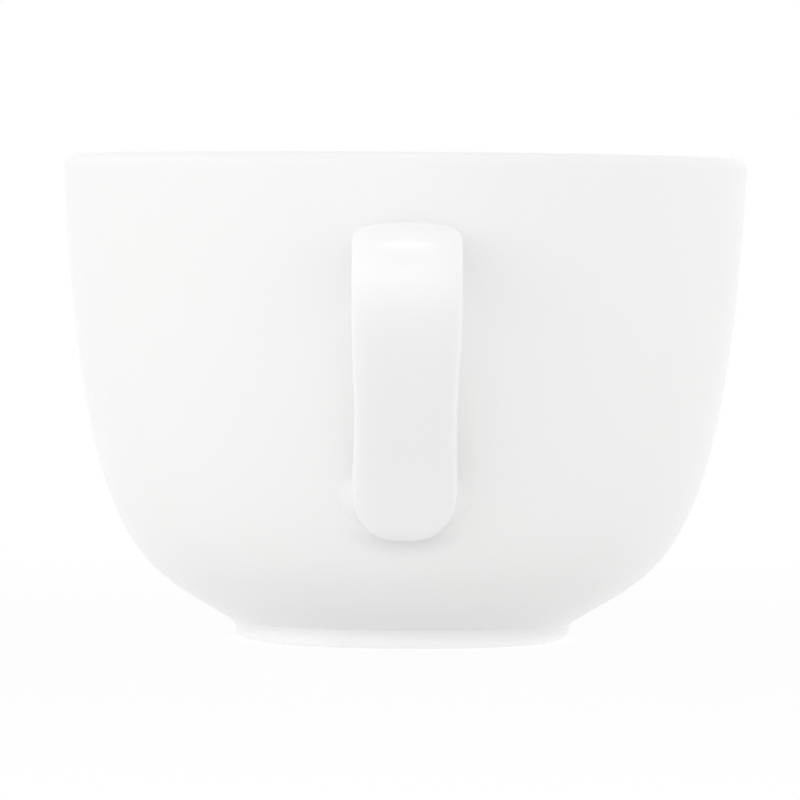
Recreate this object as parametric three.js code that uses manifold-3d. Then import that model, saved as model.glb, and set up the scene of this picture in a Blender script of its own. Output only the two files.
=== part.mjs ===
// A café au lait cup in white glazed porcelain: a wide bowl on a low foot ring, with a flat strap handle
// whose two ends are stuck to the bowl with collars of slip. Millimetres, +Z up. The cup stands on the
// plane z = 0, the handle points to -Y, and the origin is under the middle of bowl and handle together.
import * as THREE from "three";
import { mergeVertices } from "three/addons/utils/BufferGeometryUtils.js";
import Module from "manifold-3d";

// Driving dimensions of the bowl
const rimDiameter = 106;
const cupHeight = 75;
const wallThickness = 3.4;
const floorThickness = 4;
const wallLean = THREE.MathUtils.degToRad(2.9); // outward lean of the wall just below the lip
const bellySlope = THREE.MathUtils.degToRad(34.5); // rise of the underside where it leaves the foot
const bellyFullness = 0.57; // how far the underside runs straight out, as a share of its overhang
const wallFullness = 0.892; // how far the wall hangs straight down, as a share of its rise

// Driving dimensions of the foot ring
const footDiameter = 51.8;
const footHeight = 2.65;
const footRingWidth = 5;
const footStandWidth = 1.2; // flat face that the ring stands on
const footInnerEdge = 1.2; // radius of the ring's inner lower edge
const footOuterRise = 1.8; // height of its outer lower edge, rounded from the flat face out to its side
const footLedge = 0.2; // the bowl stands out past the top of the ring by this much

// Driving dimensions of the handle
const handleDrop = 10.5; // from the rim down to the top of the strap
const handleProjection = 29; // from the rim out to the front of the strap
const strapWidth = 15.9;
const strapWaist = 0.9; // the strap is this much narrower halfway down its front
const strapThickness = 5.5;
const bendSquareness = 2.8; // exponent of the strap's section at the bend: 2 is an ellipse, more is squarer
const endSquareness = 5; // the same at its lower end
const bendInnerRadius = 3;
const frontLean = THREE.MathUtils.degToRad(31); // inward lean of the strap just below the bend
const frontUpperPull = 0.2; // how long the front keeps that lean, as a share of its length
const frontLowerPull = 0.35; // how long the front runs straight at the bowl, as a share of its length
const arrivalAngle = THREE.MathUtils.degToRad(14); // between the strap's lower end and the bowl's wall
const lowerJointHeight = 19.8; // of the place on the bowl's wall that the lower end is stuck to
const tongueLift = 0.6; // from that place out to the strap's centre line
const tongueLength = 11.4; // rounded end of the strap, along its centre line
const tongueDepth = 1.4; // how far the strap runs on past that place
const tongueSquareness = 2.5; // exponent of the tongue's outline: 2 is an ellipse
const tongueBluntness = 6; // exponent of the tongue's thinning: more keeps it thick up to its tip

// Driving dimensions of the slip joints
const upperFillet = 0.5; // the slip's hollow rounding between strap and bowl, around the upper end
const lowerSideFillet = 2.6; // the same at the sides of the lower end
const lowerEndFillet = 0.4; // the same under the tongue's tip and behind the strap
const sidePeakShare = 0.35; // where the side fillet is widest, as a sine of the rise from the joint's middle
const sideFadeShare = 0.75; // how far from there it fades out, as a sine too
const slipEdge = 0.2; // thickness of the slip at its outer edges
const seamGap = 0.3; // clearance at each stuck joint

// Fineness of the round surfaces
const turnSteps = 64; // around the cup's axis
const outsideSteps = 14; // up the bowl's wall
const lipSteps = 5;
const dishSteps = 6; // from the inside wall to the middle of the floor
const footEdgeSteps = 3;
const sectionSteps = 28; // around the strap
const runSteps = 28; // along the strap as far as its tongue
const tongueSteps = 8;
const filletSteps = 3;
const slipSteps = 48; // around a slip joint
const lineSteps = 400; // along the strap, when the place nearest to a point is searched for
const halvings = 40; // of a span in which a place is searched for

const rimRadius = rimDiameter / 2;
const footRadius = footDiameter / 2;

const wasm = await Module();
wasm.setup();

// A closed surface as a solid that can be cut
function solidFrom(geometry) {
  geometry.deleteAttribute("normal");
  geometry.deleteAttribute("uv");
  const merged = mergeVertices(geometry);
  const corners = merged.index.array;
  const kept = [];
  for (let i = 0; i < corners.length; i += 3) {
    const [a, b, c] = corners.slice(i, i + 3);
    if (a !== b && b !== c && c !== a) kept.push(a, b, c);
  }
  const vertProperties = Float32Array.from(merged.attributes.position.array);
  return new wasm.Manifold(new wasm.Mesh({ numProp: 3, vertProperties, triVerts: Uint32Array.from(kept) }));
}

// A cut solid as a surface again
function surfaceFrom(solid) {
  const { vertProperties, triVerts } = solid.getMesh();
  const geometry = new THREE.BufferGeometry();
  geometry.setAttribute("position", new THREE.BufferAttribute(vertProperties, 3));
  geometry.setIndex(new THREE.BufferAttribute(triVerts, 1));
  geometry.computeVertexNormals();
  return geometry;
}

// A point at an angle and a distance from another one
function polar(centre, angle, distance) {
  return new THREE.Vector2(Math.cos(angle), Math.sin(angle)).multiplyScalar(distance).add(centre);
}

// A profile of radius and height, turned around the Z axis
function turned(profile) {
  return new THREE.LatheGeometry(profile, turnSteps).rotateX(Math.PI / 2);
}

// A skin over rings of equally many points. It joins up into a hoop, or has a fan over each end.
function skinOver(rings, isHoop) {
  const size = rings[0].length;
  const points = rings.flat();
  const corners = [];
  const spans = isHoop ? rings.length : rings.length - 1;
  for (let i = 0; i < spans; i += 1) {
    const here = i * size;
    const next = ((i + 1) % rings.length) * size;
    for (let j = 0; j < size; j += 1) {
      const k = (j + 1) % size;
      corners.push(here + j, next + k, next + j, here + j, here + k, next + k);
    }
  }
  if (!isHoop) {
    const last = (rings.length - 1) * size;
    for (let j = 1; j < size - 1; j += 1) {
      corners.push(0, j + 1, j);
      corners.push(last, last + j, last + j + 1);
    }
  }
  const geometry = new THREE.BufferGeometry().setFromPoints(points);
  geometry.setIndex(corners);
  return geometry;
}

// The bowl's outside, from the crease above the foot ring to the start of the lip
const lipRadius = wallThickness / 2;
const lipCentre = new THREE.Vector2(rimRadius - lipRadius, cupHeight - lipRadius);
const neck = new THREE.Vector2(footRadius + footLedge, footHeight);
const lipStart = polar(lipCentre, -wallLean, lipRadius);
const belly = polar(neck, bellySlope, bellyFullness * (rimRadius - neck.x));
const shoulder = polar(lipStart, -Math.PI / 2 - wallLean, wallFullness * (cupHeight - footHeight));
const outside = new THREE.CubicBezierCurve(neck, belly, shoulder, lipStart);

// A point of the outside, moved outward (or inward, if negative) square to the surface
function outsideAt(t, outward) {
  const along = outside.getTangent(t);
  return new THREE.Vector2(along.y, -along.x).multiplyScalar(outward).add(outside.getPoint(t));
}

// The distance along the outside at which it has a given height
const outsideLength = outside.getLength();
function outsideDistance(height) {
  let low = 0;
  let high = outsideLength;
  for (let i = 0; i < halvings; i += 1) {
    const middle = (low + high) / 2;
    if (outside.getPointAt(middle / outsideLength).y < height) low = middle;
    else high = middle;
  }
  return low;
}

// The curve's own parameter at a distance along the outside
function outsideParameter(distance) {
  return outside.getUtoTmapping(THREE.MathUtils.clamp(distance / outsideLength, 0, 1));
}

// Bowl: underside, wall, rounded lip, inside wall and dished floor, in one turned profile
const wallPlaces = Array.from({ length: outsideSteps + 1 }, (_, i) => i / outsideSteps);
const floorHeight = footHeight + floorThickness;
const dishStart = 3; // step of the wall at which the inside leaves it for the floor
const dishEdge = outsideAt(wallPlaces[dishStart], -wallThickness);
const dishSlope = outside.getTangent(wallPlaces[dishStart]);
const dishTurn = new THREE.Vector2(
  dishEdge.x - ((dishEdge.y - floorHeight) * dishSlope.x) / dishSlope.y,
  floorHeight,
);
const floorCentre = new THREE.Vector2(0, floorHeight);
const lip = new THREE.Path().absarc(lipCentre.x, lipCentre.y, lipRadius, -wallLean, Math.PI - wallLean);
const bowlProfile = [
  new THREE.Vector2(0, footHeight),
  ...wallPlaces.map((t) => outside.getPoint(t)),
  ...lip.getPoints(lipSteps).slice(1, -1),
  ...wallPlaces.slice(dishStart + 1).reverse().map((t) => outsideAt(t, -wallThickness)),
  ...new THREE.QuadraticBezierCurve(dishEdge, dishTurn, floorCentre).getPoints(dishSteps),
];
const bowlShape = turned(bowlProfile);

// Foot ring: a low band with rounded lower edges, flat where it stands
const footInside = footRadius - footRingWidth;
const standInside = footInside + footInnerEdge;
const standOutside = standInside + footStandWidth;
const outerEdge = footRadius - standOutside;
const footOutline = new THREE.Path();
footOutline.moveTo(standInside, 0);
footOutline.lineTo(standOutside, 0);
footOutline.absellipse(standOutside, footOuterRise, outerEdge, footOuterRise, -Math.PI / 2, 0);
footOutline.lineTo(footRadius, footHeight);
footOutline.lineTo(footInside, footHeight);
footOutline.lineTo(footInside, footInnerEdge);
footOutline.absarc(standInside, footInnerEdge, footInnerEdge, Math.PI, 1.5 * Math.PI);
const footShape = turned(footOutline.getPoints(footEdgeSteps));

// The handle's centre line, as distance from the cup's axis and height: out from the bowl, round the
// bend, down the front and into the bowl again
const strapHeight = cupHeight - handleDrop - strapThickness / 2;
const bendRadius = bendInnerRadius + strapThickness / 2;
const bendCentre = new THREE.Vector2(
  rimRadius + handleProjection - strapThickness / 2 - bendRadius,
  strapHeight - bendRadius,
);
const frontTop = polar(bendCentre, -frontLean, bendRadius);
const foothold = outsideDistance(lowerJointHeight);
const landing = outsideParameter(foothold);
const frontFoot = outsideAt(landing, tongueLift);
const arrival = outside.getTangent(landing).angle() - arrivalAngle;
const frontLength = frontTop.distanceTo(frontFoot);
const frontUpper = polar(frontTop, -Math.PI / 2 - frontLean, frontUpperPull * frontLength);
const frontLower = polar(frontFoot, arrival, frontLowerPull * frontLength);
const root = outsideDistance(strapHeight);
const rootRadius = outside.getPoint(outsideParameter(root)).x;
const slipLip = seamGap + slipEdge;
const tailLength = tongueDepth + slipLip + lowerSideFillet;
const tail = polar(frontFoot, arrival, -tailLength);
const centreLine = new THREE.Path();
centreLine.moveTo(rootRadius - wallThickness / 2, strapHeight);
centreLine.lineTo(bendCentre.x, strapHeight);
centreLine.absarc(bendCentre.x, bendCentre.y, bendRadius, Math.PI / 2, -frontLean, true);
centreLine.bezierCurveTo(frontUpper.x, frontUpper.y, frontLower.x, frontLower.y, frontFoot.x, frontFoot.y);
centreLine.lineTo(tail.x, tail.y);
const lineLength = centreLine.getLength();
const tongueStart = lineLength - tailLength + tongueDepth - tongueLength;
const frontStart = lineLength - tailLength - frontLength;

// The strap's section at a distance along it, swollen by a margin. Its end is a tongue with a round outline.
function strapSection(distance, margin) {
  const share = THREE.MathUtils.clamp((distance - tongueStart) / (tongueLength + margin), 0, 1);
  const down = THREE.MathUtils.clamp((distance - frontStart) / frontLength, 0, 1);
  const narrowing = (1 - share ** tongueSquareness) ** (1 / tongueSquareness);
  const thinning = (1 - share ** tongueBluntness) ** (1 / tongueBluntness);
  const width = strapWidth - strapWaist * Math.sin(Math.PI * down) ** 2;
  return {
    halfWidth: narrowing * (width / 2 + margin),
    halfThickness: thinning * (strapThickness / 2 + margin),
    squareness: THREE.MathUtils.lerp(bendSquareness, endSquareness, down),
  };
}

// A point on the strap's swollen skin
function onStrap(distance, turn, margin) {
  const place = centreLine.getPointAt(Math.min(distance / lineLength, 1));
  const along = centreLine.getTangentAt(Math.min(distance / lineLength, 1));
  const { halfWidth, halfThickness, squareness } = strapSection(distance, margin);
  const across = Math.sign(Math.cos(turn)) * Math.abs(Math.cos(turn)) ** (2 / squareness);
  const outward = Math.sign(Math.sin(turn)) * Math.abs(Math.sin(turn)) ** (2 / squareness);
  const rise = outward * halfThickness;
  return new THREE.Vector3(across * halfWidth, along.y * rise - place.x, place.y + along.x * rise);
}

// Handle: rings of the strap's section along the centre line, cut back to the bowl
const sectionTurns = Array.from({ length: sectionSteps }, (_, i) => (i / sectionSteps) * 2 * Math.PI);
const nearTip = 0.985; // the last ring stops at this share of a quarter turn to the tongue's tip
function strapSolid(margin) {
  const places = [];
  for (let i = 0; i < runSteps; i += 1) {
    places.push((i / runSteps) * tongueStart);
  }
  for (let i = 0; i <= tongueSteps; i += 1) {
    const turn = (i / tongueSteps) * nearTip * (Math.PI / 2);
    places.push(tongueStart + (tongueLength + margin) * Math.sin(turn));
  }
  const rings = places.map((place) => sectionTurns.map((turn) => onStrap(place, turn, margin)));
  return solidFrom(skinOver(rings, false));
}
const bowlRoom = solidFrom(turned([
  new THREE.Vector2(0, footHeight),
  ...wallPlaces.map((t) => outsideAt(t, seamGap)),
  new THREE.Vector2(0, lipStart.y),
]));
const handleShape = surfaceFrom(strapSolid(0).subtract(bowlRoom));

// A point at a gap from the bowl's outside, by its way around from the handle's middle and up the wall
function besideBowl(around, up, gap) {
  const { x: radius, y: height } = outsideAt(outsideParameter(up), gap);
  return new THREE.Vector3(radius * Math.sin(around / radius), -radius * Math.cos(around / radius), height);
}

// Whether a point lies inside the swollen strap
const lineSamples = Array.from({ length: lineSteps + 1 }, (_, i) => ({
  distance: (i / lineSteps) * lineLength,
  place: centreLine.getPointAt(i / lineSteps),
  along: centreLine.getTangentAt(i / lineSteps),
}));
function isInStrap(point, margin) {
  const reach = new THREE.Vector2(-point.y, point.z);
  let nearest = lineSamples[0];
  for (const sample of lineSamples) {
    if (sample.place.distanceToSquared(reach) < nearest.place.distanceToSquared(reach)) nearest = sample;
  }
  const offset = reach.sub(nearest.place);
  const rise = nearest.along.cross(offset);
  const section = strapSection(nearest.distance + nearest.along.dot(offset), margin);
  const across = Math.abs(point.x / section.halfWidth) ** section.squareness;
  return across + Math.abs(rise / section.halfThickness) ** section.squareness < 1;
}

// The edge of the swollen strap on a shell around the bowl, on a ray from the middle of a joint
const searchReach = tongueLength + strapWidth; // longer than any such ray
function strapEdge(middle, turn, margin, gap) {
  const at = (distance) => besideBowl(distance * Math.cos(turn), middle + distance * Math.sin(turn), gap);
  let near = 0;
  let far = searchReach;
  for (let i = 0; i < halvings; i += 1) {
    const between = (near + far) / 2;
    if (isInStrap(at(between), margin)) near = between;
    else far = between;
  }
  return at(near);
}

// Slip joint: a hollow fillet all the way around one end of the strap. Its blank starts from the skins of
// strap and bowl, and is cut back from both by the seam gap.
const slipTurns = Array.from({ length: slipSteps }, (_, i) => (i / slipSteps) * 2 * Math.PI);
const strapRoom = strapSolid(seamGap);
function slipJoint(middle, sideFillet, endFillet) {
  const columns = slipTurns.map((turn) => {
    const sideness = Math.max(0, 1 - ((Math.sin(turn) - sidePeakShare) / sideFadeShare) ** 2) ** 2;
    const fillet = THREE.MathUtils.lerp(endFillet, sideFillet, sideness);
    const outer = slipLip + fillet;
    const column = [strapEdge(middle, turn, 0, 0), strapEdge(middle, turn, outer, 0)];
    for (let i = 0; i <= filletSteps; i += 1) {
      const sweep = (i / filletSteps) * (Math.PI / 2);
      const margin = outer - fillet * Math.sin(sweep);
      const gap = outer - fillet * Math.cos(sweep);
      column.push(strapEdge(middle, turn, margin, gap));
    }
    column.push(strapEdge(middle, turn, 0, outer));
    return column;
  });
  const blank = solidFrom(skinOver(columns.reverse(), true));
  return surfaceFrom(blank.subtract(strapRoom).subtract(bowlRoom));
}
const upperSlipShape = slipJoint(root, upperFillet, upperFillet);
const lowerSlipShape = slipJoint(foothold, lowerSideFillet, lowerEndFillet);

// The pieces, each with its own fired finish
const cup = new THREE.Group();
cup.position.y = handleProjection / 2;
function addPiece(name, geometry, color, roughness) {
  const piece = new THREE.Mesh(geometry, new THREE.MeshStandardMaterial({ color, roughness, metalness: 0 }));
  piece.name = name;
  cup.add(piece);
}
addPiece("bowl", bowlShape, 0xf6f6f3, 0.12);
addPiece("foot_ring", footShape, 0xf0eee8, 0.3);
addPiece("handle", handleShape, 0xf6f6f3, 0.12);
addPiece("upper_slip_joint", upperSlipShape, 0xf4f4f1, 0.12);
addPiece("lower_slip_joint", lowerSlipShape, 0xf4f4f1, 0.12);

const model = new THREE.Group();
model.add(cup);

export default model;
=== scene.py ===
# A café au lait cup in white glazed porcelain, with its strap handle towards the viewer
import math

import bpy
import numpy as np
from mathutils import Matrix, Vector


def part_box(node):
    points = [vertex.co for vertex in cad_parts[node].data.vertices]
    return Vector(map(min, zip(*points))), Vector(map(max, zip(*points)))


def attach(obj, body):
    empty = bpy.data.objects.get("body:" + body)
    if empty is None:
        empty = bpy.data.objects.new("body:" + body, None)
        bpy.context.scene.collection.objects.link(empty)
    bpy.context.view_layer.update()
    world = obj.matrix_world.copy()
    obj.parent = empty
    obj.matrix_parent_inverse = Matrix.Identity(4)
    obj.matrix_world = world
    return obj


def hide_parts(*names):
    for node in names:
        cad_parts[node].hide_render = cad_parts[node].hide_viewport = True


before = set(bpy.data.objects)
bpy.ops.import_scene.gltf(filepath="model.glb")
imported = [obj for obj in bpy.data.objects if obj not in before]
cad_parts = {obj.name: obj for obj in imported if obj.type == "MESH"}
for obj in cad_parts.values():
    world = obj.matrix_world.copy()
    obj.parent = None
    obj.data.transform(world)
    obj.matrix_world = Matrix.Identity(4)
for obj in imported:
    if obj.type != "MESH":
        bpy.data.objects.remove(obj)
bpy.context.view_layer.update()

# Camera
# A long lens in front of the handle, lower than the rim, so that the rim arches up, the foot arches down
# and the inside of the cup stays hidden. It stands a touch to the left and leans by less than half a degree.
picture_size = 800
focal_pixels = 6060
axis_column = 403.83
horizon_row = 253.97
camera_distance = 0.9426
camera_height = 0.05994
camera_azimuth = math.radians(-0.25)
camera_roll = math.radians(0.42)

bowl_low, bowl_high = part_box("bowl")
axis_y = (bowl_low.y + bowl_high.y) / 2
camera_data = bpy.data.cameras.new("camera")
camera_data.sensor_width = 36
camera_data.lens = focal_pixels / picture_size * camera_data.sensor_width
camera = bpy.data.objects.new("camera", camera_data)
bpy.context.collection.objects.link(camera)
bpy.context.scene.camera = camera
heading = math.pi / 2 + camera_azimuth + math.atan((axis_column - picture_size / 2) / focal_pixels)
dip = math.atan((picture_size / 2 - horizon_row) / focal_pixels)
gaze = Vector((math.cos(heading) * math.cos(dip), math.sin(heading) * math.cos(dip), -math.sin(dip)))
camera.matrix_world = (
    Matrix.Translation((
        camera_distance * math.sin(camera_azimuth),
        axis_y - camera_distance * math.cos(camera_azimuth),
        camera_height,
    ))
    @ gaze.to_track_quat("-Z", "Y").to_matrix().to_4x4()
    @ Matrix.Rotation(camera_roll, 4, "Z")
)

# Bowl
# The round body of the cup: underside, wall, rounded lip and dished floor in one piece of white porcelain.
# It is turned in a mould, so it is the same all around its axis, and fired under a clear gloss glaze.
rim_radius = 0.053
cup_height = 0.075
wall = 0.0034
floor_thickness = 0.004
wall_lean = math.radians(2.9)
belly_slope = math.radians(34.5)
belly_fullness = 0.57
wall_fullness = 0.892
foot_radius = 0.0259
foot_height = 0.00265
foot_ledge = 0.0002
dish_start = 3 / 14
turn_steps = 240
underside_shares = (0, 0.2, 0.4, 0.6, 0.8, 0.97)
wall_steps = 73
lip_steps = 26
inside_steps = 57
dish_steps = 33
porcelain_white = (0.912, 0.913, 0.911)
porcelain_warm = (0.911, 0.909, 0.903)
# The grey of glaze run together in a hollow, also used to paint shade and shadow.
pooled_glaze_and_shade = (0.82, 0.822, 0.82)
cloud_scale = 45
cloud_range = (0.3, 0.7)
ripple_scale = 420
gloss = {"Coat Roughness": 0.22, "Coat IOR": 1.5, "Specular IOR Level": 0.3}
crease_reach = 0.006
# Partly pooled glaze and partly painted shade: the wall is greyed towards the crease above the foot.
crease_pool_and_shade = 0.75
# Painted shadow: a grey crescent on the wall under the tip of the handle's tongue.
tip_shadow_centre = (0, -0.0466, 0.0257)
tip_shadow_reach = (0.0092, 0.0132)
tip_shadow_top = (0.0168, 0.0196)


def polar(centre, angle, distance):
    return np.array([centre[0] + distance * math.cos(angle), centre[1] + distance * math.sin(angle)])


def bezier(corners, share):
    rows = [np.asarray(corner)[None, :] for corner in corners]
    while len(rows) > 1:
        rows = [a + (b - a) * np.asarray(share)[:, None] for a, b in zip(rows, rows[1:])]
    return rows[0]


lip_radius = wall / 2
lip_centre = (rim_radius - lip_radius, cup_height - lip_radius)
neck = np.array([foot_radius + foot_ledge, foot_height])
lip_start = polar(lip_centre, -wall_lean, lip_radius)
belly = polar(neck, belly_slope, belly_fullness * (rim_radius - neck[0]))
shoulder = polar(lip_start, -math.pi / 2 - wall_lean, wall_fullness * (cup_height - foot_height))
outside_corners = [neck, belly, shoulder, lip_start]


def outside(share):
    """Points of the bowl's outside, and the directions along it, from the neck up."""
    along = bezier(np.diff(outside_corners, axis=0), share)
    return bezier(outside_corners, share), along / np.linalg.norm(along, axis=1)[:, None]


def inside(share):
    """Points of the inside wall: the outside, moved in by the wall's thickness."""
    points, along = outside(share)
    return points + wall * np.stack([-along[:, 1], along[:, 0]], 1)


def turned(name, profile, is_closed=False):
    """A mesh turned around the cup's axis from points of radius and height."""
    turns = np.arange(turn_steps) * (2 * math.pi / turn_steps)
    corners, rows, faces = [], [], []
    for radius, height in profile:
        count = turn_steps if radius > 0 else 1
        rows.append([len(corners) + i % count for i in range(turn_steps + 1)])
        corners += [(radius * math.cos(t), axis_y + radius * math.sin(t), height) for t in turns[:count]]
    for low, high in zip(rows, rows[1:] + rows[:1] * is_closed):
        for i in range(turn_steps):
            faces.append(list(dict.fromkeys([low[i], low[i + 1], high[i + 1], high[i]])))
    return piece_from(name, corners, faces)


def piece_from(name, corners, faces, sharp_from=math.radians(30)):
    """An object with smooth faces, creased where they meet at more than an angle."""
    mesh = bpy.data.meshes.new(name)
    mesh.from_pydata([tuple(map(float, corner)) for corner in corners], [], faces)
    mesh.polygons.foreach_set("use_smooth", [True] * len(mesh.polygons))
    mesh.set_sharp_from_angle(angle=sharp_from)
    piece = bpy.data.objects.new(name, mesh)
    bpy.context.collection.objects.link(piece)
    return piece


class Wire:
    """An output of a shader node. Arithmetic on wires adds Math nodes to their tree."""

    def __init__(self, tree, socket=None):
        self.tree = tree
        self.socket = socket

    def add(self, kind, settings=None, sockets=None, output=0):
        node = self.tree.nodes.new("ShaderNode" + kind)
        for name, value in (settings or {}).items():
            setattr(node, name, value)
        for name, value in (sockets or {}).items():
            if isinstance(value, Wire):
                self.tree.links.new(value.socket, node.inputs[name])
            else:
                node.inputs[name].default_value = value
        return Wire(self.tree, node.outputs[output] if len(node.outputs) else None)

    def math(self, operation, first, second):
        return self.add("Math", {"operation": operation}, {0: first, 1: second})

    def __add__(self, other):
        return self.math("ADD", self, other)

    def __radd__(self, other):
        return self.math("ADD", other, self)

    def __sub__(self, other):
        return self.math("SUBTRACT", self, other)

    def __rsub__(self, other):
        return self.math("SUBTRACT", other, self)

    def __mul__(self, other):
        return self.math("MULTIPLY", self, other)

    def __rmul__(self, other):
        return self.math("MULTIPLY", other, self)

    def blend(self, first, second):
        """A colour between two, with this wire as the share of the second."""
        first, second = [c if isinstance(c, Wire) else (*c, 1) for c in (first, second)]
        return self.add("Mix", {"data_type": "RGBA"}, {0: self, 6: first, 7: second}, output=2)

    def step(self, low, high):
        """0 below low, 1 above high, and a soft rise between them."""
        sockets = {"Value": self, "From Min": low, "From Max": high}
        return self.add("MapRange", {"interpolation_type": "SMOOTHSTEP"}, sockets)


def new_material(name):
    material = bpy.data.materials.new(name)
    material.use_nodes = True
    material.node_tree.nodes.clear()
    return material, Wire(material.node_tree)


def noise(place, scale, detail=2):
    return place.add("TexNoise", None, {"Vector": place, "Scale": scale, "Detail": detail})


def place_of(wire):
    return wire.add("TexCoord", output="Object")


def height_of(place):
    return place.add("SeparateXYZ", None, {0: place}, output="Z")


def distance_from(place, point):
    return place.add("VectorMath", {"operation": "DISTANCE"}, {0: place, 1: point}, output="Value")


def glazed(name, white, warm, pooling_and_shade_of):
    """Clear gloss glaze on white porcelain. A mask greys it, partly as glaze run together in a hollow and
    partly as painted shade.
    """
    material, wire = new_material(name)
    place = place_of(wire)
    cloud = noise(place, cloud_scale)
    ripple = noise(place, ripple_scale)
    pool_and_shade = pooling_and_shade_of(place)
    body = cloud.step(*cloud_range).blend(white, warm)
    bump = wire.add("Bump", None, {"Height": ripple, "Strength": 0.03, "Distance": 0.0002})
    shader = wire.add("BsdfPrincipled", None, {
        "Base Color": pool_and_shade.blend(body, pooled_glaze_and_shade),
        "Roughness": 0.3 + 0.1 * cloud,
        "Coat Weight": 0.9 + 0.1 * pool_and_shade,
        "Normal": bump,
        **gloss,
    })
    wire.add("OutputMaterial", None, {"Surface": shader})
    return material


lip_angles = np.linspace(-wall_lean, math.pi - wall_lean, lip_steps)[1:-1]
floor_height = foot_height + floor_thickness
dish_edge = inside([dish_start])[0]
dish_slope = outside([dish_start])[1][0]
dish_run = (dish_edge[1] - floor_height) * dish_slope[0] / dish_slope[1]
dish_turn = np.array([dish_edge[0] - dish_run, floor_height])
bowl_profile = [
    *[(neck[0] * share, foot_height) for share in underside_shares],
    *outside(np.linspace(0, 1, wall_steps))[0],
    *[polar(lip_centre, angle, lip_radius) for angle in lip_angles],
    *inside(np.linspace(1, dish_start, inside_steps)[:-1]),
    *bezier([dish_edge, dish_turn, np.array([0, floor_height])], np.linspace(0, 1, dish_steps)),
]
bowl = turned("porcelain_bowl", bowl_profile)


def painted_tip_shadow(place):
    """The share of painted shadow in a crescent on the wall, under the tip of the handle's lower end."""
    centre = (tip_shadow_centre[0], tip_shadow_centre[1] + axis_y, tip_shadow_centre[2])
    near = 1 - distance_from(place, centre).step(*tip_shadow_reach)
    return near * (1 - height_of(place).step(*tip_shadow_top))


# Pooled glaze and painted shade in the crease above the foot, and painted shadow under the handle's tongue.
def bowl_pools_and_shade(place):
    crease = 1 - height_of(place).step(foot_height, foot_height + crease_reach)
    return crease_pool_and_shade * crease + painted_tip_shadow(place)


bowl.data.materials.append(glazed("bowl_glaze", porcelain_white, porcelain_warm, bowl_pools_and_shade))
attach(bowl, "root")
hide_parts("bowl")

# Foot ring
# The low ring that the cup stands on, turned from the same porcelain. Its white is painted lighter than the
# bowl's, as painted light. Glaze fills the crease above it and runs down its sides, and is wiped off its
# standing edge before the firing, which leaves bare biscuit. Towards the crease the glaze is greyed, partly
# as pooled glaze and partly as painted shade.
foot_ring_width = 0.005
foot_stand_width = 0.0012
foot_inner_edge = 0.0012
outer_crease = 0.001
inner_crease = 0.0008
sunk = 0.00001
arc_steps = 14
outer_edge_steps = 20
inner_crease_steps = 12
# Painted light: a lighter white than the bowl's, for the light the bright table throws on the foot.
painted_lit_foot_white = (0.945, 0.946, 0.944)
bare_biscuit = (0.915, 0.905, 0.885)
grain_scale = 2600
grain_detail = 3
glaze_line = 0.0001
glaze_fade = 0.00006
glaze_wander = 0.00008
wander_scale = 330
# Partly pooled glaze and partly painted shade: the foot ring is greyed towards the crease.
foot_pool_and_shade = 0.45
foot_pool_and_shade_start = 0.0006


def arc(centre, radius, start, end, steps):
    return [polar(centre, angle, radius) for angle in np.linspace(start, end, steps)]


foot_inside = foot_radius - foot_ring_width
crease_radius = outer_crease * math.tan(math.pi / 4 + belly_slope / 2)
crease_foot = foot_height - foot_ledge * math.tan(belly_slope) - outer_crease
crease_centre = (foot_radius + crease_radius, crease_foot + sunk)
inner_crease_centre = (foot_inside - inner_crease, foot_height - inner_crease + sunk)
stand_inside = foot_inside + foot_inner_edge
stand_outside = stand_inside + foot_stand_width
outer_edge = foot_radius - stand_outside
foot_profile = [
    *arc((stand_inside, foot_inner_edge), foot_inner_edge, math.pi, 1.5 * math.pi, arc_steps),
    *[
        (stand_outside + outer_edge * math.sin(turn), crease_foot * (1 - math.cos(turn)))
        for turn in np.linspace(0, math.pi / 2, outer_edge_steps)
    ],
    *arc(crease_centre, crease_radius, math.pi, math.pi / 2 + belly_slope, arc_steps),
    (foot_radius, foot_height + outer_crease),
    (foot_inside, foot_height + outer_crease),
    *arc(inner_crease_centre, inner_crease, math.pi / 2, 0, inner_crease_steps),
]
foot_ring = turned("turned_foot_ring", foot_profile, is_closed=True)


def foot_glaze_and_painted_light():
    """The bowl's glaze, lightened as painted light, with a ragged lower edge above the bare standing face."""
    material, wire = new_material("foot_glaze_and_painted_light")
    place = place_of(wire)
    height = height_of(place)
    cloud = noise(place, cloud_scale)
    grain = noise(place, grain_scale, grain_detail)
    edge = height + glaze_wander * (noise(place, wander_scale) - 0.5)
    glazed_here = edge.step(glaze_line, glaze_line + glaze_fade)
    bump = wire.add("Bump", None, {
        "Height": (1 - glazed_here) * grain, "Strength": 0.35, "Distance": 0.0001,
    })
    # Greyed towards the crease, partly as pooled glaze and partly as painted shade.
    foot_pooled_and_shaded = foot_pool_and_shade * height.step(foot_pool_and_shade_start, foot_height)
    body = foot_pooled_and_shaded.blend(cloud.step(*cloud_range).blend(painted_lit_foot_white, porcelain_warm), pooled_glaze_and_shade)
    shader = wire.add("BsdfPrincipled", None, {
        "Base Color": glazed_here.blend(grain.blend(bare_biscuit, porcelain_warm), body),
        "Roughness": 0.75 - 0.42 * glazed_here,
        "Coat Weight": glazed_here,
        "Normal": bump,
        **gloss,
    })
    wire.add("OutputMaterial", None, {"Surface": shader})
    return material


foot_ring.data.materials.append(foot_glaze_and_painted_light())
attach(foot_ring, "root")
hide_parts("foot_ring")

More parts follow.
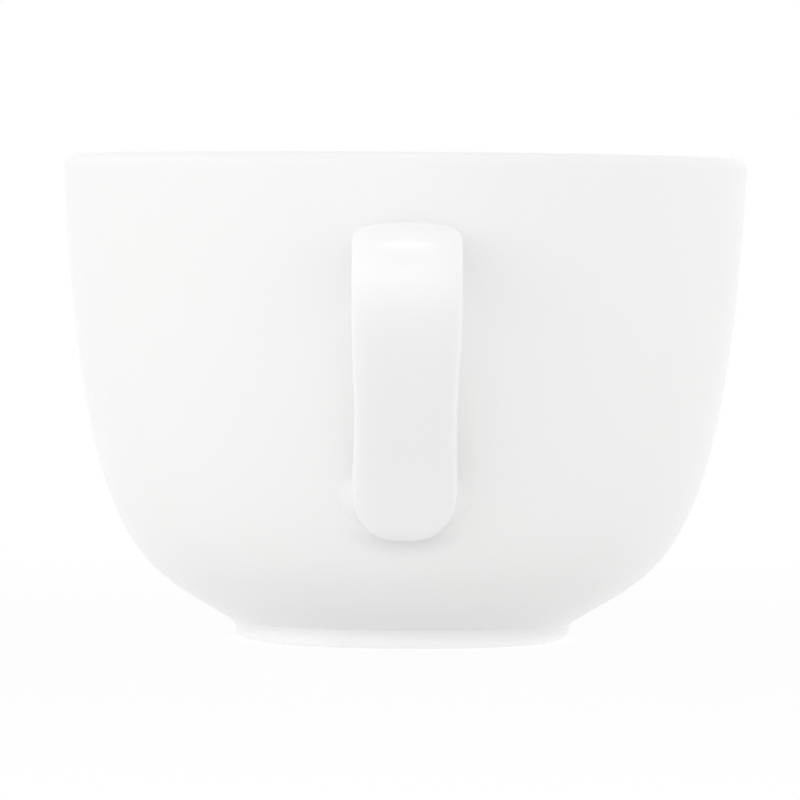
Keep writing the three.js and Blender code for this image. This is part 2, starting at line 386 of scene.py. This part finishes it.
# Handle
# A flat strap of porcelain with rounded edges, slip-cast by itself. It leaves the bowl level, bends down
# and slants back to the bowl, where it ends in a rounded tongue. Both ends are stuck into the wall.
handle_drop = 0.0105
handle_projection = 0.029
strap_width = 0.0159
strap_waist = 0.0009
strap_thickness = 0.0055
bend_squareness = 2.8
end_squareness = 5
bend_inner_radius = 0.003
front_lean = math.radians(31)
front_upper_pull = 0.2
front_lower_pull = 0.35
arrival_angle = math.radians(14)
lower_joint_height = 0.0198
tongue_lift = 0.0006
tongue_length = 0.0114
tongue_depth = 0.0014
tongue_bluntness = 6
tongue_squareness = 2.5
tongue_end_share = 0.99
tail_length = 0.0056
section_steps = 160
bend_steps = 200
front_steps = 400
strap_steps = 140
tongue_steps = 40
# Painted light: the strap is given a lighter white than the bowl's, for the brighter light on its face.
strap_lit_white = (0.945, 0.946, 0.944)
strap_lit_warm = (0.944, 0.942, 0.937)
# Painted shade: the lowest part of the strap, its tongue by the wall, is greyed.
tongue_shade_share = 0.2
tongue_shade_reach = (0.017, 0.02)

wall_shares = np.linspace(0, 1, 2001)
wall_line = outside(wall_shares)[0]


def outside_at(height):
    """The point of the bowl's outside at a height, and the direction along it there."""
    points, along = outside([np.interp(height, wall_line[:, 1], wall_shares)])
    return points[0], along[0]


strap_height = cup_height - handle_drop - strap_thickness / 2
bend_radius = bend_inner_radius + strap_thickness / 2
bend_centre = (rim_radius + handle_projection - strap_thickness / 2 - bend_radius, strap_height - bend_radius)
foothold, wall_along = outside_at(lower_joint_height)
landing = foothold + tongue_lift * np.array([wall_along[1], -wall_along[0]])
arrival = math.atan2(wall_along[1], wall_along[0]) - arrival_angle
front_top = polar(bend_centre, -front_lean, bend_radius)
front_length = np.linalg.norm(front_top - landing)
root_radius = outside_at(strap_height)[0][0]
centre_line = np.array([
    (root_radius - wall / 2, strap_height),
    *arc(bend_centre, bend_radius, math.pi / 2, -front_lean, bend_steps),
    *bezier([
        front_top,
        polar(front_top, -math.pi / 2 - front_lean, front_upper_pull * front_length),
        polar(landing, arrival, front_lower_pull * front_length),
        landing,
    ], np.linspace(0, 1, front_steps)[1:]),
    polar(landing, arrival, -tail_length),
])
line_steps = np.diff(centre_line, axis=0)
line_places = np.concatenate([[0], np.cumsum(np.linalg.norm(line_steps, axis=1))])
line_headings = np.unwrap(np.arctan2(line_steps[:, 1], line_steps[:, 0]))
heading_places = (line_places[1:] + line_places[:-1]) / 2
line_length = line_places[-1]
front_start = line_length - tail_length - front_length
tongue_start = line_length - tail_length + tongue_depth - tongue_length


def strap_section(distance, margin):
    """Half width, half thickness and squareness of the strap, swollen by a margin, at distances along it."""
    share = np.clip((distance - tongue_start) / (tongue_length + margin), 0, 1)
    down = np.clip((distance - front_start) / front_length, 0, 1)
    narrowing = (1 - share ** tongue_squareness) ** (1 / tongue_squareness)
    thinning = (1 - share ** tongue_bluntness) ** (1 / tongue_bluntness)
    half_width = (strap_width - strap_waist * np.sin(math.pi * down) ** 2) / 2 + margin
    half_thickness = strap_thickness / 2 + margin
    squareness = bend_squareness + (end_squareness - bend_squareness) * down
    return half_width * narrowing, half_thickness * thinning, squareness


def on_strap(distance):
    """Points around the strap's skin at a distance along it."""
    radius = np.interp(distance, line_places, centre_line[:, 0])
    height = np.interp(distance, line_places, centre_line[:, 1])
    heading = np.interp(distance, heading_places, line_headings)
    half_width, half_thickness, squareness = strap_section(distance, 0)
    side, front = np.cos(section_turns), np.sin(section_turns)
    across = np.sign(side) * np.abs(side) ** (2 / squareness) * half_width
    rise = np.sign(front) * np.abs(front) ** (2 / squareness) * half_thickness
    return np.stack([across, np.sin(heading) * rise - radius, height + np.cos(heading) * rise], -1)


def skinned(name, rings, is_hoop=False):
    """A mesh over rings of equally many points, joined into a hoop or closed at both ends."""
    count = len(rings[0])
    corners = np.concatenate(rings) + np.array([0, axis_y, 0])
    faces = []
    for i in range(len(rings) if is_hoop else len(rings) - 1):
        here, after = i * count, (i + 1) % len(rings) * count
        for j in range(count):
            k = (j + 1) % count
            faces.append([here + j, here + k, after + k, after + j])
    if not is_hoop:
        faces.append(list(range(count))[::-1])
        faces.append([(len(rings) - 1) * count + j for j in range(count)])
    return piece_from(name, corners, faces)


# Painted shade on the strap's tongue, low down by the wall.
def painted_tongue_shade(place):
    return tongue_shade_share * (1 - height_of(place).step(*tongue_shade_reach))


section_turns = np.arange(section_steps) * (2 * math.pi / section_steps)
tongue_turns = np.linspace(0, tongue_end_share * math.pi / 2, tongue_steps)
strap_places = [
    *np.linspace(0, tongue_start, strap_steps, endpoint=False),
    *tongue_start + tongue_length * np.sin(tongue_turns),
]
handle = skinned("strap_handle", [on_strap(place) for place in strap_places])
handle.data.materials.append(glazed("handle_glaze", strap_lit_white, strap_lit_warm, painted_tongue_shade))
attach(handle, "root")
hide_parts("handle")

# Slip joints
# Two collars of slip, the liquid clay that sticks the handle to the bowl. Each is smoothed with a wet brush
# into a hollow fillet all around one end of the strap, and the glaze has run together a little in it. The
# lower one also carries painted shadow under the tongue's tip.
collar_depth = 0.0004
collar_reach = 0.02
collar_steps = 15
search_rounds = 24
upper_fillet = 0.00045
lower_side_fillet = 0.003
lower_end_fillet = 0.0003
side_peak_share = 0.35
side_fade_share = 0.75
slip_tint = 0.15
slip_scale = 300
slip_range = (0.1, 0.9)

fine_places = np.linspace(0, line_length, 1500)
fine_line = np.stack([np.interp(fine_places, line_places, centre_line[:, i]) for i in (0, 1)], 1)
fine_headings = np.interp(fine_places, heading_places, line_headings)
wall_places = np.concatenate([[0], np.cumsum(np.linalg.norm(np.diff(wall_line, axis=0), axis=1))])


def beside_bowl(across, up, gap):
    """Points at a gap from the bowl's outside, by their way across from the middle and up the wall."""
    surface, along = outside(np.interp(up, wall_places, wall_shares))
    radius = surface[:, 0] + gap * along[:, 1]
    turn = across / radius
    return np.stack([radius * np.sin(turn), -radius * np.cos(turn), surface[:, 1] - gap * along[:, 0]], -1)


def is_in_strap(points, margin):
    """Which points lie inside the strap, swollen by a margin."""
    reach = np.stack([-points[:, 1], points[:, 2]], 1)
    nearest = np.argmin(((reach[:, None] - fine_line) ** 2).sum(2), 1)
    offset = reach - fine_line[nearest]
    along = np.stack([np.cos(fine_headings[nearest]), np.sin(fine_headings[nearest])], 1)
    distance = fine_places[nearest] + (offset * along).sum(1)
    rise = offset[:, 1] * along[:, 0] - offset[:, 0] * along[:, 1]
    half_width, half_thickness, squareness = strap_section(distance, margin)
    half_width, half_thickness = np.maximum(half_width, 1e-9), np.maximum(half_thickness, 1e-9)
    return np.abs(points[:, 0] / half_width) ** squareness + np.abs(rise / half_thickness) ** squareness < 1


def collar_ring(seat, margin, gap):
    """Where the swollen strap comes out of a shell around the bowl, on rays from the joint's middle."""
    near, far = np.zeros(section_steps), np.full(section_steps, collar_reach)
    for _ in range(search_rounds):
        middle = (near + far) / 2
        points = beside_bowl(middle * np.cos(section_turns), seat + middle * np.sin(section_turns), gap)
        is_inside = is_in_strap(points, margin)
        near, far = np.where(is_inside, middle, near), np.where(is_inside, far, middle)
    return points


# Glaze run together at random in the slip, and painted shadow under the tongue's tip.
def slip_pools_and_tip_shadow(place):
    return slip_tint * noise(place, slip_scale).step(*slip_range) + painted_tip_shadow(place)


def slip_collar(name, node, seat_height, side_fillet, end_fillet):
    """A hollow fillet around one end of the strap, of one size at its sides and another above and below."""
    seat = np.interp(seat_height, wall_line[:, 1], wall_places)
    sideness = np.clip(1 - ((np.sin(section_turns) - side_peak_share) / side_fade_share) ** 2, 0, 1) ** 2
    fillet = end_fillet + (side_fillet - end_fillet) * sideness
    sweeps = np.linspace(0, math.pi / 2, collar_steps)
    rows = [
        (-collar_depth, -collar_depth),
        (fillet, -collar_depth),
        *[(fillet * (1 - math.sin(s)) - sunk, fillet * (1 - math.cos(s)) - sunk) for s in sweeps],
        (-collar_depth, fillet),
    ]
    collar = skinned(name, [collar_ring(seat, margin, gap) for margin, gap in rows], is_hoop=True)
    collar.data.materials.append(glazed(name + "_glaze", porcelain_white, porcelain_warm, slip_pools_and_tip_shadow))
    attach(collar, "root")
    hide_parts(node)


slip_collar("upper_slip_collar", "upper_slip_joint", strap_height, upper_fillet, upper_fillet)
slip_collar("lower_slip_collar", "lower_slip_joint", lower_joint_height, lower_side_fillet, lower_end_fillet)

# Floor and light
# A plain white table top in a white tent, lit by softboxes at both sides and in front and two lamps above.
# The table glows, most under the foot. Seen directly, it fades to white and keeps a faint shadow of the cup.
floor_reach = 4.0
floor_white = (0.5, 0.5, 0.5)
shadow_reach = (0.08, 0.3)
shadow_veil = 0.93
table_glow = 0.33
contact_glow = 0.52
contact_reach = (0.0262, 0.0285)
tent_level = 0.58
softbox_reach = 1.256
softbox_height = 0.374
softbox_size = (2.2, 0.7)

floor = piece_from("floor", [
    (-floor_reach, -floor_reach, 0), (floor_reach, -floor_reach, 0),
    (floor_reach, floor_reach, 0), (-floor_reach, floor_reach, 0),
], [[0, 1, 2, 3]])


def is_seen(wire):
    """1 for rays that show the background: from the camera, in a mirror or through glass."""
    path = wire.add("LightPath").socket.node
    rays = [Wire(wire.tree, path.outputs[f"Is {kind} Ray"]) for kind in ("Camera", "Glossy", "Transmission")]
    return rays[0] + rays[1] + rays[2]


floor_material, wire = new_material("table_white")
place = place_of(wire)
matte = wire.add("BsdfDiffuse", None, {"Color": (*floor_white, 1)})
glow = wire.add("MixShader", None, {
    0: distance_from(place, (0, axis_y, 0)).step(*contact_reach),
    1: wire.add("Emission", None, {"Strength": contact_glow}),
    2: wire.add("Emission", None, {"Strength": table_glow}),
})
white = wire.add("Emission", None, {"Strength": 1.0})
fade = shadow_veil + (1 - shadow_veil) * distance_from(place, (0, 0, 0)).step(*shadow_reach)
wire.add("OutputMaterial", None, {
    "Surface": wire.add("MixShader", None, {
        0: is_seen(wire) * fade, 1: wire.add("AddShader", None, {0: matte, 1: glow}), 2: white,
    }),
})
floor.data.materials.append(floor_material)

world = bpy.data.worlds.new("white_tent")
bpy.context.scene.world = world
world.use_nodes = True
world.node_tree.nodes.clear()
wire = Wire(world.node_tree)
tent = wire.add("Background", None, {"Color": (1, 1, 1, 1), "Strength": tent_level})
white = wire.add("Background", None, {"Color": (1, 1, 1, 1), "Strength": 1.0})
wire.add("OutputWorld", None, {
    "Surface": wire.add("MixShader", None, {0: is_seen(wire), 1: tent, 2: white}),
})


def softbox(name, place, size, power, is_mirrored=False):
    """A lamp of a width and height, aimed at the cup. Only a mirrored one shows in the glaze."""
    lamp = bpy.data.lights.new(name, "AREA")
    lamp.shape = "RECTANGLE"
    lamp.size, lamp.size_y = size
    lamp.energy = power
    box = bpy.data.objects.new(name, lamp)
    box.location = place
    box.visible_glossy = is_mirrored
    aim = Vector((0, axis_y, cup_height / 2)) - Vector(place)
    box.rotation_euler = aim.to_track_quat("-Z", "Y").to_euler()
    bpy.context.collection.objects.link(box)


for name, azimuth, power in (
    ("left_softbox", -90, 4.4), ("left_front_softbox", -30, 4.8),
    ("right_front_softbox", 30, 1.8), ("right_softbox", 90, 4.7),
):
    turn = math.radians(azimuth)
    spot = (softbox_reach * math.sin(turn), axis_y - softbox_reach * math.cos(turn), softbox_height)
    softbox(name, spot, softbox_size, power)
softbox("overhead_softbox", (0, 0.25, 1.3), (1.0, 1.0), 2.2)
softbox("top_softbox", (0, -0.33, 1.1), (0.18, 0.2), 0.3, is_mirrored=True)

bpy.context.scene.view_settings.view_transform = "Standard"
